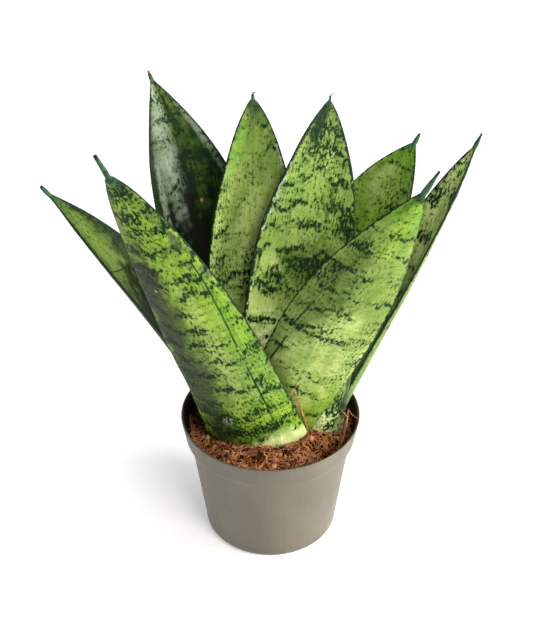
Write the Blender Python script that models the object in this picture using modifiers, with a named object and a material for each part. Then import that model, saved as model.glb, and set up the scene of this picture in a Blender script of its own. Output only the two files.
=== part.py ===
"""Potted snake plant: a nursery pot of coir mix that holds a rhizome and nine broad leaves.

Metres, +Z up. The origin is the centre of the pot's flat underside, and the front is -Y.
A leaf is one thick sheet. Its centreline starts underground at the leaf's foot and leans
outwards, its cross-section is an arc that opens towards the leaf's inner face, and its blade
runs into a short stiff spine at the tip.
"""

from dataclasses import dataclass
from math import cos, pi, radians, sin

import bmesh
import bpy
import numpy as np

MM = 0.001
GAP = 0.3 * MM  # clearance between pieces that touch

# Pot
POT_HEIGHT = 93 * MM
RIM_RADIUS = 60 * MM
BAND_HEIGHT = 16.5 * MM  # plain band below the rim
BAND_FOOT_RADIUS = 57.4 * MM
BAND_STEP = 2 * MM  # slanted step under the band
WALL_TOP_RADIUS = 54.3 * MM
WALL_FOOT_RADIUS = 45.2 * MM
POT_CORNER = 6.6 * MM
POT_WALL = 1.4 * MM
POT_FLOOR = 2 * MM
DRAIN_COUNT = 8
DRAIN_RADIUS = 4 * MM
DRAIN_CIRCLE = 27 * MM
POT_SIDES = 64

# Potting mix: its surface is a low mound
MIX_TOP = 84.5 * MM
MIX_EDGE = 80.5 * MM

# Rhizome
RHIZOME_HEIGHT = 54.5 * MM
RHIZOME_RADIUS = 6 * MM

# Colours
TAUPE = (0.31, 0.29, 0.24)
COIR_BROWN = (0.16, 0.06, 0.03)
RHIZOME_CREAM = (0.62, 0.5, 0.3)
LEAF_GREEN = (0.2, 0.34, 0.07)

# Leaves
LEAF_FOOT_HEIGHT = 65 * MM
LEAF_THICKNESS = 3.8 * MM
LEAF_EDGE_SHARE = 0.3  # thickness at the margins, as a share of the middle's
FULL_THICKNESS_WIDTH = 11 * MM  # where the half width is smaller, the blade is thinner
LEAST_THICKNESS_SHARE = 0.4  # in the spine
NECK_SHARE = 0.35  # width of the foot, as a share of what it is above the mix
NECK_LENGTH = 20 * MM
FOLD_EASE = 0.45  # share of the blade over which the fold opens
SPINE_HALF_WIDTHS = (1.2 * MM, 0.5 * MM)  # at its start and at its point
LEAF_ROWS = 24
TIP_CROWDING = 0.4  # share of the row spacing that closes up towards the tip
LEAF_COLUMNS = 6
SLOT_START = -0.03  # a leaf's slot in the mix begins below its foot, at the rhizome


@dataclass(frozen=True)
class Leaf:
    """One leaf in mm and degrees. A pair of angles holds the values at the foot and the tip."""

    name: str
    foot: tuple  # x and y of the foot
    length: float  # of the blade, along its centreline
    spine: float  # length of the spine beyond the blade
    lean: tuple  # from upright
    heading: tuple  # direction of the lean, from +X towards +Y
    roll: tuple  # turn of the blade about its centreline
    half_width: tuple  # near the foot, and at the widest place
    widest: float  # place of the greatest width, as a share of the length
    taper: float  # 1 is a slim tip, and less is a blunter one
    fold: tuple  # half angle of the arc-shaped cross-section


LEAVES = (
    Leaf(
        name="leaf_left",
        foot=(-32, 8),
        length=221,
        spine=5,
        lean=(17, 41),
        heading=(183, 172),
        roll=(6, -8),
        half_width=(17, 26),
        widest=0.55,
        taper=1,
        fold=(50, 40),
    ),
    Leaf(
        name="leaf_front_left",
        foot=(-3, -20),
        length=267,
        spine=16,
        lean=(18.5, 24),
        heading=(220, 192),
        roll=(49, 52),
        half_width=(36, 32),
        widest=0.35,
        taper=0.55,
        fold=(32, 28),
    ),
    Leaf(
        name="leaf_back_left",
        foot=(-19, 27),
        length=249,
        spine=3,
        lean=(8, 30.5),
        heading=(134, 135),
        roll=(-17, -24),
        half_width=(18, 31.5),
        widest=0.6,
        taper=0.95,
        fold=(45, 31),
    ),
    Leaf(
        name="leaf_inner_left",
        foot=(-14, 16),
        length=236,
        spine=3,
        lean=(3.5, 19.5),
        heading=(77, 92),
        roll=(6, 15),
        half_width=(15, 30),
        widest=0.55,
        taper=0.7,
        fold=(39, 28),
    ),
    Leaf(
        name="leaf_centre",
        foot=(2, 4),
        length=241,
        spine=3,
        lean=(5, 30),
        heading=(39, 73),
        roll=(36, 33),
        half_width=(18.5, 33),
        widest=0.55,
        taper=0.75,
        fold=(27, 23),
    ),
    Leaf(
        name="leaf_back_right",
        foot=(19, 21),
        length=214,
        spine=6,
        lean=(15.5, 39.5),
        heading=(37, 41),
        roll=(3, 11),
        half_width=(16, 28.5),
        widest=0.7,
        taper=0.9,
        fold=(45, 36),
    ),
    Leaf(
        name="leaf_right",
        foot=(37, 5),
        length=225,
        spine=9,
        lean=(29, 34.5),
        heading=(32, 39),
        roll=(-34, -11),
        half_width=(14.5, 24),
        widest=0.5,
        taper=0.8,
        fold=(47, 47),
    ),
    Leaf(
        name="leaf_front_right",
        foot=(-6, -6),
        length=258,
        spine=16,
        lean=(21.5, 27.5),
        heading=(-46, -10),
        roll=(-55, -75),
        half_width=(20.5, 30.5),
        widest=0.5,
        taper=0.8,
        fold=(20, 21),
    ),
    Leaf(
        name="leaf_short_right",
        foot=(28, -7),
        length=135,
        spine=4,
        lean=(6.5, 22.5),
        heading=(-39, -24),
        roll=(-58, -46),
        half_width=(17, 20),
        widest=0.3,
        taper=0.75,
        fold=(20, 54),
    ),
)


def ramp(pair, share):
    return pair[0] + (pair[1] - pair[0]) * share


def ease(share):
    """Smooth step from 0 to 1."""
    share = np.clip(share, 0, 1)
    return share * share * (3 - 2 * share)


def leaf_axes(leaf, along):
    """Unit vectors along the centreline, across the blade and out of its inner face."""
    lean = np.radians(ramp(leaf.lean, along))
    heading = np.radians(ramp(leaf.heading, along))
    roll = np.radians(ramp(leaf.roll, along))[:, None]
    out = np.stack([np.cos(heading), np.sin(heading), np.zeros_like(heading)], axis=1)
    up = np.array([0.0, 0.0, 1.0])
    forward = out * np.sin(lean)[:, None] + up * np.cos(lean)[:, None]
    inward = -out * np.cos(lean)[:, None] + up * np.sin(lean)[:, None]
    side = np.cross(forward, inward)
    across = np.cos(roll) * side - np.sin(roll) * inward
    normal = np.cos(roll) * inward + np.sin(roll) * side
    return forward, across, normal


def centreline(leaf, along):
    """Points of the centreline: its direction, summed up from the foot at along = 0."""
    places = np.linspace(-0.1, 1.2, 261)
    middles = (places[1:] + places[:-1]) / 2
    steps = leaf_axes(leaf, middles)[0] * (places[1] - places[0]) * leaf.length * MM
    path = np.vstack([np.zeros(3), np.cumsum(steps, axis=0)])
    foot = np.array([leaf.foot[0] * MM, leaf.foot[1] * MM, LEAF_FOOT_HEIGHT])
    offsets = [np.interp(along, places, axis) - np.interp(0, places, axis) for axis in path.T]
    return foot + np.stack(offsets, axis=1)


def blade_half_width(leaf, along):
    """Widens from the foot to the widest place, falls to the tip and ends in the spine."""
    foot_width, full_width = leaf.half_width
    rise = ramp((foot_width, full_width), np.sin(pi / 2 * np.clip(along / leaf.widest, 0, 1)))
    past = np.clip((along - leaf.widest) / (1 - leaf.widest), 0, 1)
    fall = full_width * np.cos(pi / 2 * past) ** leaf.taper
    neck = ramp((NECK_SHARE, 1), ease(along * leaf.length * MM / NECK_LENGTH))
    blade = np.where(along < leaf.widest, rise, fall) * neck * MM
    spine = ramp(SPINE_HALF_WIDTHS, ease((along - 1) * leaf.length / leaf.spine))
    return np.maximum(blade, spine)


def leaf_points(leaf, along, across, grow):
    """Points of the sheet's middle surface. across runs from -1 to 1 between the margins."""
    width = blade_half_width(leaf, along) + grow
    fold = np.radians(ramp(leaf.fold, ease(along / FOLD_EASE)))
    radius = width / fold
    _, side, normal = leaf_axes(leaf, along)
    sideways = radius * np.sin(fold * across)
    inwards = radius * (1 - np.cos(fold * across))
    return centreline(leaf, along) + side * sideways[:, None] + normal * inwards[:, None]


def new_object(name, mesh, collection):
    made = bpy.data.objects.new(name, mesh)
    collection.objects.link(made)
    return made


def leaf_sheet(name, leaf, grow, collection):
    """A grid bent into the leaf and thickened. A grown one has one more row, below the foot."""
    below = 1 if grow else 0
    mesh = bpy.data.meshes.new(name)
    grid = bmesh.new()
    bmesh.ops.create_grid(grid, x_segments=LEAF_COLUMNS, y_segments=LEAF_ROWS + below, size=1)
    grid.to_mesh(mesh)
    grid.free()
    places = np.empty(len(mesh.vertices) * 3)
    mesh.vertices.foreach_get("co", places)
    across, row, _ = places.reshape(-1, 3).T
    row = (row + 1) / 2 * (LEAF_ROWS + below) - below
    share = np.clip(row / LEAF_ROWS, 0, 1)
    share = ramp((share, np.sin(pi / 2 * share)), TIP_CROWDING)
    along = (1 + leaf.spine / leaf.length) * share
    along[row < -0.5] = SLOT_START
    mesh.vertices.foreach_set("co", leaf_points(leaf, along, across, grow).ravel())
    sheet = new_object(name, mesh, collection)
    lens = ramp((1, LEAF_EDGE_SHARE), across**2)
    slimming = np.clip(
        blade_half_width(leaf, along) / FULL_THICKNESS_WIDTH, LEAST_THICKNESS_SHARE, 1
    )
    thickest = LEAF_THICKNESS + 2 * grow
    shares = (LEAF_THICKNESS * lens * slimming + 2 * grow) / thickest
    group = sheet.vertex_groups.new(name="thickness")
    for index, value in enumerate(shares):
        group.add([index], float(value), "REPLACE")
    thicken = sheet.modifiers.new("thickness", "SOLIDIFY")
    thicken.thickness = thickest
    thicken.offset = 0
    thicken.vertex_group = group.name
    thicken.use_quality_normals = True
    mesh.shade_smooth()
    return sheet


def arc(centre, radius, start, end, count):
    """Points of an arc in the XZ plane, its angles in degrees from +X towards +Z."""
    angles = [radians(start + (end - start) * i / count) for i in range(count + 1)]
    return [(centre[0] + radius * cos(a), centre[1] + radius * sin(a)) for a in angles]


def turned(name, profile, collection):
    """A profile of (radius, height) points, turned about Z by a Screw modifier."""
    mesh = bpy.data.meshes.new(name)
    edges = [(i, i + 1) for i in range(len(profile) - 1)]
    mesh.from_pydata([(x, 0, z) for x, z in profile], edges, [])
    made = new_object(name, mesh, collection)
    screw = made.modifiers.new("turn", "SCREW")
    screw.steps = POT_SIDES
    screw.render_steps = POT_SIDES
    screw.use_merge_vertices = True
    screw.merge_threshold = 0.00001
    screw.use_smooth_shade = True
    return made


def inner_wall(clearance):
    """The pot's inside from the floor's edge up to the rim, moved inwards by a clearance."""
    corner = POT_CORNER - POT_WALL
    foot = WALL_FOOT_RADIUS - POT_WALL
    step_height = POT_HEIGHT - BAND_HEIGHT
    points = arc((foot - corner, POT_FLOOR + corner), corner, -90, 0, 4)
    points.append((WALL_TOP_RADIUS - POT_WALL, step_height - BAND_STEP))
    points.append((BAND_FOOT_RADIUS - POT_WALL, step_height))
    points = [(x - clearance, z + clearance) for x, z in points]
    points.append((RIM_RADIUS - POT_WALL - clearance, POT_HEIGHT - POT_WALL / 2))
    return points


def make_pot(collection, cutters):
    """Thin-walled cup with a plain band under its rim and drain holes in its floor."""
    step_height = POT_HEIGHT - BAND_HEIGHT
    lip = arc((RIM_RADIUS - POT_WALL / 2, POT_HEIGHT - POT_WALL / 2), POT_WALL / 2, 180, 0, 4)
    outside = [
        (BAND_FOOT_RADIUS, step_height),
        (WALL_TOP_RADIUS, step_height - BAND_STEP),
    ]
    corner = arc((WALL_FOOT_RADIUS - POT_CORNER, POT_CORNER), POT_CORNER, 0, -90, 6)
    profile = [(0, POT_FLOOR)] + inner_wall(0)[:-1] + lip + outside + corner + [(0, 0)]
    pot = turned("pot", profile, collection)
    for index in range(DRAIN_COUNT):
        angle = 2 * pi * index / DRAIN_COUNT
        place = (DRAIN_CIRCLE * cos(angle), DRAIN_CIRCLE * sin(angle), POT_FLOOR / 2)
        bpy.ops.mesh.primitive_cylinder_add(
            vertices=16, radius=DRAIN_RADIUS, depth=4 * POT_FLOOR, location=place
        )
        hole = bpy.context.object
        hole.name = f"cut_drain_{index + 1}"
        move_to(hole, cutters)
        boolean(pot, hole, "DIFFERENCE")
    return pot


def make_mix(collection):
    """The body of coir mix: it fills the pot below its mounded surface."""
    wall = inner_wall(GAP)
    below, above = wall[-2], wall[-1]
    edge_share = (MIX_EDGE - below[1]) / (above[1] - below[1])
    edge = (ramp((below[0], above[0]), edge_share), MIX_EDGE)
    mound = [
        (edge[0] * i / 6, ramp((MIX_EDGE, MIX_TOP), cos(pi / 2 * i / 6))) for i in range(6)
    ]
    side = wall[-2::-1]
    return turned("potting_mix", mound + [edge] + side + [(0, POT_FLOOR + GAP)], collection)


def tube(name, points, radius, collection):
    """A smooth round stem along (x, y) control points in mm at the rhizome's height, as a mesh."""
    curve = bpy.data.curves.new(name, "CURVE")
    curve.dimensions = "3D"
    curve.bevel_depth = radius
    curve.bevel_resolution = 3
    curve.use_fill_caps = True
    curve.resolution_u = 5
    curve.render_resolution_u = 0
    spline = curve.splines.new("NURBS")
    spline.points.add(len(points) - 1)
    for point, (x, y) in zip(spline.points, points):
        point.co = (x * MM, y * MM, RHIZOME_HEIGHT, 1)
    spline.use_endpoint_u = True
    spline.order_u = 3
    stem = new_object(f"{name}_curve", curve, collection)
    evaluated = stem.evaluated_get(bpy.context.evaluated_depsgraph_get())
    mesh = bpy.data.meshes.new_from_object(evaluated)
    bpy.data.objects.remove(stem)
    welded = bmesh.new()
    welded.from_mesh(mesh)
    bmesh.ops.remove_doubles(welded, verts=welded.verts, dist=0.00001)
    welded.to_mesh(mesh)
    welded.free()
    mesh.shade_smooth()
    return new_object(name, mesh, collection)


def make_rhizome(name, radius, collection, cutters):
    """A main stem below the row of leaves, joined by a bent arm at the back and one in front."""
    longer = (radius - RHIZOME_RADIUS) / MM
    stem_route = ((-34 - longer, 10), (-12, 6), (6, -4), (42 + longer, -2))
    back_route = ((-19, 28 + longer), (-6, -14), (19, 24 + longer))
    front_route = ((1, -20 - longer), (0, 4))
    stem = tube(name, stem_route, radius, collection)
    back = tube(f"{name}_back", back_route, radius * 0.9, cutters)
    front = tube(f"{name}_front", front_route, radius * 0.9, cutters)
    for arm in (back, front):
        hide(arm)
        boolean(stem, arm, "UNION")
    return stem


def move_to(made, collection):
    """Moves a primitive from the scene's own collection to the cutters."""
    for old in list(made.users_collection):
        old.objects.unlink(made)
    collection.objects.link(made)
    hide(made)


def hide(made):
    made.hide_render = True
    made.display_type = "WIRE"


def boolean(target, tool, operation):
    cut = target.modifiers.new(tool.name, "BOOLEAN")
    cut.operation = operation
    cut.solver = "EXACT"
    cut.object = tool


def material(name, colour, roughness):
    made = bpy.data.materials.new(name)
    made.use_nodes = True
    shader = made.node_tree.nodes["Principled BSDF"]
    shader.inputs["Base Color"].default_value = (*colour, 1)
    shader.inputs["Roughness"].default_value = roughness
    shader.inputs["Metallic"].default_value = 0
    return made


def clear_scene():
    for old in list(bpy.data.objects):
        bpy.data.objects.remove(old)


def main():
    clear_scene()
    parts = bpy.data.collections.new("potted_snake_plant")
    cutters = bpy.data.collections.new("cutters")
    for collection in (parts, cutters):
        bpy.context.scene.collection.children.link(collection)

    pot = make_pot(parts, cutters)
    pot.data.materials.append(material("pot_plastic", TAUPE, 0.5))

    mix = make_mix(parts)
    mix.data.materials.append(material("coir", COIR_BROWN, 0.95))

    rhizome = make_rhizome("rhizome", RHIZOME_RADIUS, parts, cutters)
    rhizome.data.materials.append(material("rhizome_skin", RHIZOME_CREAM, 0.7))
    pocket = make_rhizome("cut_rhizome", RHIZOME_RADIUS + GAP, cutters, cutters)
    hide(pocket)
    boolean(mix, pocket, "DIFFERENCE")

    for leaf in LEAVES:
        sheet = leaf_sheet(leaf.name, leaf, 0, parts)
        sheet.data.materials.append(material(leaf.name, LEAF_GREEN, 0.35))
        slot = leaf_sheet(f"cut_{leaf.name}", leaf, GAP, cutters)
        hide(slot)
        boolean(mix, slot, "DIFFERENCE")


main()
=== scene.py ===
"""Potted snake plant: fine surfaces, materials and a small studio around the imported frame.

Metres, +Z up, the front is -Y. The pot, the coir and the nine leaves are surfaces worked out with
numpy, and every one is a loft: rings of points joined in rows, closed by a point at each end.
Most sizes in the tables are in mm, and turn into metres where the surface is made.
"""

from dataclasses import dataclass

import bpy
import numpy as np
from bpy.props import FloatProperty, FloatVectorProperty, IntProperty, PointerProperty
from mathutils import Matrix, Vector
from numpy import cos, pi, sin


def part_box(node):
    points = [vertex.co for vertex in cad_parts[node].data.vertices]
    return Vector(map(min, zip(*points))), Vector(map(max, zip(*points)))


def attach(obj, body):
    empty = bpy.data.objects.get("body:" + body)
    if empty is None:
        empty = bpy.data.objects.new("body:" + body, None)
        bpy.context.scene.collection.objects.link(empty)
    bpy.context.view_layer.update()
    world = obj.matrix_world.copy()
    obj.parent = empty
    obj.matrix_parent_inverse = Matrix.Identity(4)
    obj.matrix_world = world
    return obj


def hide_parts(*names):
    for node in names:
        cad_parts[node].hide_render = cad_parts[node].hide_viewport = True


bl_info = {
    "name": "Potted Snake Plant",
    "version": (1, 0, 0),
    "blender": (4, 5, 0),
    "location": "View3D > Sidebar > Snake Plant",
    "description": "Builds a potted snake plant with banded leaves, coir and a nursery pot",
    "category": "Add Mesh",
}

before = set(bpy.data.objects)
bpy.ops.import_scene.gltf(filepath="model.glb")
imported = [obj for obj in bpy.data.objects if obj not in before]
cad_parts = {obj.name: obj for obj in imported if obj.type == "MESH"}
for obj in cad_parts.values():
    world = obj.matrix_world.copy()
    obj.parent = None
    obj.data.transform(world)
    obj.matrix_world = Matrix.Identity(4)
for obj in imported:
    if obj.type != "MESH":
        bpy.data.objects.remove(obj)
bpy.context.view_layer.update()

MM = 0.001

# Pot
POT_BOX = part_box("pot")
RIM_RADIUS = POT_BOX[1][0]
POT_HEIGHT = POT_BOX[1][2]
BAND_HEIGHT = 16.5 * MM
BAND_FOOT_RADIUS = 57.4 * MM
BAND_STEP = 2 * MM
WALL_TOP_RADIUS = 54.3 * MM
WALL_FOOT_RADIUS = 45.2 * MM
POT_CORNER = 6.6 * MM
POT_WALL = 1.4 * MM
POT_FLOOR = 2 * MM
POT_SOFTENING = 1.8 * MM  # radius of the curve in each of the profile's corners
POT_SIDES = 256
POT_ROW = 2.5 * MM  # longest gap between two rings
FOOT_FLAT = 44 * MM  # inside this radius the foot stays flat
SWELL = 0.06 * MM
MOULD_LINE = 0.12 * MM
MOULD_TURN = np.radians(283)
MOULD_WIDTH = 0.012  # in radians
DRAIN_COUNT = 8
DRAIN_RADIUS = 4 * MM
DRAIN_CIRCLE = 27 * MM

# Coir
MIX_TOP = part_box("potting_mix")[1][2]
MIX_EDGE = MIX_TOP - 4 * MM
MIX_RADIUS = 56 * MM  # where the coir meets the wall
WALL_GAP = 0.5 * MM  # between the wall and what lies inside it
COIR_SIDES = 300
COIR_RINGS = 90
COIR_SINK = 2.2 * MM  # how far the bed lies below the crumbs' mound
COIR_HEAP = 3.4 * MM  # how far its middle rises again
COIR_LUMP = 7 * MM
SIDE_HEIGHTS = np.array([71, 66, 60, 45, 25, 10, 2.5]) * MM  # of the rings down the wall
FIBRE_POINTS = 9

# Leaves, as in the frame
LEAF_THICKNESS = 3.8 * MM
FULL_THICKNESS_WIDTH = 11 * MM
LEAST_THICKNESS_SHARE = 0.4
NECK_SHARE = 0.35
NECK_LENGTH = 20 * MM
FOLD_EASE = 0.45

LEAF_ROWS = 250
LEAF_COLUMNS = 56
MOST_FLECKS = 0.2  # keeps dark areas broken into dashes
HAZE_REACH = 4  # of the faint flecks round a band, in mm
HAZE_SHARE = 0.25
SOFT_EDGE = (0.45, 0.75)  # where a patch starts to fade, and over how much

# Studio
FLOOR_REACH = 30.0
NEAR_FLOOR, FAR_FLOOR = 0.6, 2.4  # the floor brightens between these distances
NEAR_GLOW = (0.34, 0.34, 0.34)
HORIZON_GLOW = (0.06, 0.36, 1, 0.09)  # heights where it starts and ends, and brightness there
LIT_POINT = (0, 0, 0.17)
LIGHTS = (  # name, place, size, power and colour
    ("key_light", (0.65, -1.15, 1.35), (0.8, 0.8), 23, (1, 0.98, 0.93)),
    ("side_light", (1.6, -0.35, 0.45), (0.6, 0.9), 52, (1, 0.98, 0.93)),
    ("fill_light", (-1.4, -1.1, 0.8), (0.6, 1.0), 5, (1, 1, 1)),
    ("top_light", (0, 0.2, 2.0), (1.0, 0.8), 13, (1, 1, 1)),
)
CAMERA_ASIDE = 3 * MM
CAMERA_DISTANCE = 1.0097
CAMERA_ELEVATION = np.radians(39.46)
CAMERA_PITCH = np.radians(35.53)
SENSOR_WIDTH = 36
LENS = 87.52


@dataclass(frozen=True)
class Patch:
    """A soft-edged area of a leaf: its centre and reach in shares of the half width and length."""

    kind: str  # a colour's name, or "mark" for dark flecks, which a negative strength clears
    across: float
    along: float
    wide: float
    long: float
    strength: float = 1
    fray: float = 0.35  # how far noise eats into its edge


@dataclass(frozen=True)
class Leaf:
    """One leaf in mm and degrees. A pair of angles holds the values at the foot and the tip."""

    name: str
    foot: tuple
    length: float
    spine: float
    spine_half_width: tuple
    lean: tuple
    heading: tuple
    roll: tuple
    half_width: tuple
    widest: float
    taper: float
    fold: tuple
    ground: tuple  # (place along the leaf, colour) stops
    bands: tuple  # spacing in mm, thickness in mm, strength
    sag: float  # how far a band's middle hangs below its ends, in mm
    flecks: float  # added to the whole leaf's flecking
    edge: float  # width of the dark stripe along the margins, in mm
    patches: tuple = ()
    creases: tuple = ()  # (across, along) pairs at the start and the end
    gloss: float = 0.14  # specular level of the skin


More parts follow.
